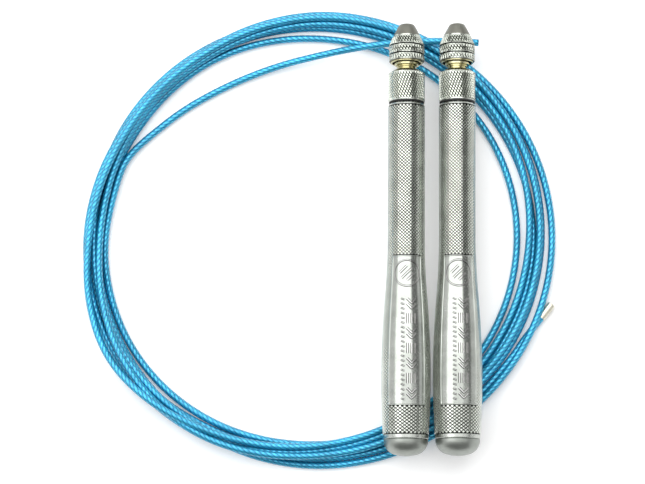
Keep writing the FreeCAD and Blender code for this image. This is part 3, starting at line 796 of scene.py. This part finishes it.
def panel_marks(side, lathe):
    """Generic marks: a ring with slanting bars in it, a band of chevrons and bars, and a row of ticks."""
    marks = PanelMarks(lathe)
    marks.stroke(circle(EMBLEM_CENTRE, EMBLEM_RADIUS), *RING_STROKE, True)
    for shift, reach in EMBLEM_BARS:
        u, v = EMBLEM_CENTRE[0] + DIAGONAL * shift, EMBLEM_CENTRE[1] + DIAGONAL * shift
        aside = DIAGONAL * reach
        marks.stroke([(u - aside, v + aside), (u + aside, v - aside)], *EMBLEM_STROKE)
    for k in range(SIGNS):
        v = BAND_START + SIGN_PITCH * k
        if k % 2:
            for u in (0.2, 1.75, 3.3):
                marks.stroke([(u, v), (u, v + 3.8)], *SIGN_STROKE)
        else:
            for drop in (0.0, 2.0):
                marks.stroke([(0.0, v + drop), (1.75, v + 1.8 + drop), (3.5, v + drop)], *SIGN_STROKE)
    for k in range(TICKS):
        v = BAND_START + TICK_PITCH * k
        marks.stroke([(-2.3, v), (-0.9, v + 0.5)], *TICK_STROKE)
    piece = mesh_object(
        f"{side}_panel_marks", marks.points, marks.faces, [MARK_TOP, MARK_EDGE_SHADE], marks.looks, sharp_angle=30.0
    )
    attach(piece, f"{side}_grip")


for handle_side in SIDES:
    grip_lathe = grip(handle_side)
    head(handle_side)
    label_panel(handle_side, grip_lathe)
    panel_marks(handle_side, grip_lathe)


# ---------------------------------------------------------------- finishes of the CAD nodes that stay
NODE_FINISHES = {
    "collet": BRASS, "brass_stem": BRASS, "collar_seal": SEAL, "spindle": STEEL,
    "bearing_spacer": STEEL, "nut_washer": STEEL, "lock_nut": STEEL, "retaining_ring": STEEL,
    "end_cap": END_CAP,
    "front_outer_race": STEEL, "front_inner_race": STEEL, "front_cage": CAGE_BRASS, "front_balls": STEEL,
    "rear_outer_race": STEEL, "rear_inner_race": STEEL, "rear_cage": CAGE_BRASS, "rear_balls": STEEL,
}


def refinish(node, material):
    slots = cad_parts[node].material_slots
    for slot in slots:
        slot.material = material


for handle_side in SIDES:
    for node_end, finish in NODE_FINISHES.items():
        refinish(f"{handle_side}_{node_end}", finish)
refinish("cable_ferrule", FERRULE)


# ---------------------------------------------------------------- floor and lights
def make_floor():
    size, level = 3.0, -0.0001
    corners = [(x * size, y * size, level) for x, y in ((-1, -1), (1, -1), (1, 1), (-1, 1))]
    mesh = bpy.data.meshes.new("floor")
    mesh.from_pydata(corners, [], [(0, 1, 2, 3)])
    mesh.materials.append(floor_finish())
    floor = bpy.data.objects.new("floor", mesh)
    bpy.context.scene.collection.objects.link(floor)


def area_light(name, place, target, width, height, power):
    data = bpy.data.lights.new(name, "AREA")
    data.shape = "RECTANGLE"
    data.size = width
    data.size_y = height
    data.energy = power
    light = bpy.data.objects.new(name, data)
    bpy.context.scene.collection.objects.link(light)
    light.location = place
    light.rotation_mode = "QUATERNION"
    light.rotation_quaternion = (Vector(target) - Vector(place)).to_track_quat("-Z", "Y")


# name: place, the point it faces, width and height in metres, and power in watts
LIGHTS = {
    "key": ((-0.5, 0.80, 1.15), (-0.5, 0.80, 0.0), 2.2, 1.4, 24.2),
    "key_left": ((-1.03, -0.25, 1.15), (-1.03, -0.25, 0.0), 1.15, 0.7, 6.3),
    "key_low": ((0.05, -0.25, 1.15), (0.05, -0.25, 0.0), 1.0, 0.7, 2.9),
    "key_right": ((1.0, -0.28, 1.15), (1.0, -0.28, 0.0), 0.9, 0.66, 1.8),
    "back_card": ((0.0, 1.75, 0.75), (0.0, 0.0, 0.0), 2.4, 0.9, 9.0),
    "left_card": ((-1.45, 0.0, 0.5), (0.0, 0.0, 0.1), 2.0, 1.0, 5.0),
    "right_card": ((1.3, 0.0, 0.3), (0.0, 0.0, 0.05), 2.0, 0.6, 2.6),
}

make_floor()
for light_name, light_values in LIGHTS.items():
    area_light(light_name, *light_values)
world = bpy.data.worlds.new("studio")
world.use_nodes = True
world.node_tree.nodes["Background"].inputs["Color"].default_value = (1.0, 1.0, 1.0, 1.0)
world.node_tree.nodes["Background"].inputs["Strength"].default_value = 0.27
bpy.context.scene.world = world

bpy.context.scene.view_settings.view_transform = "Standard"
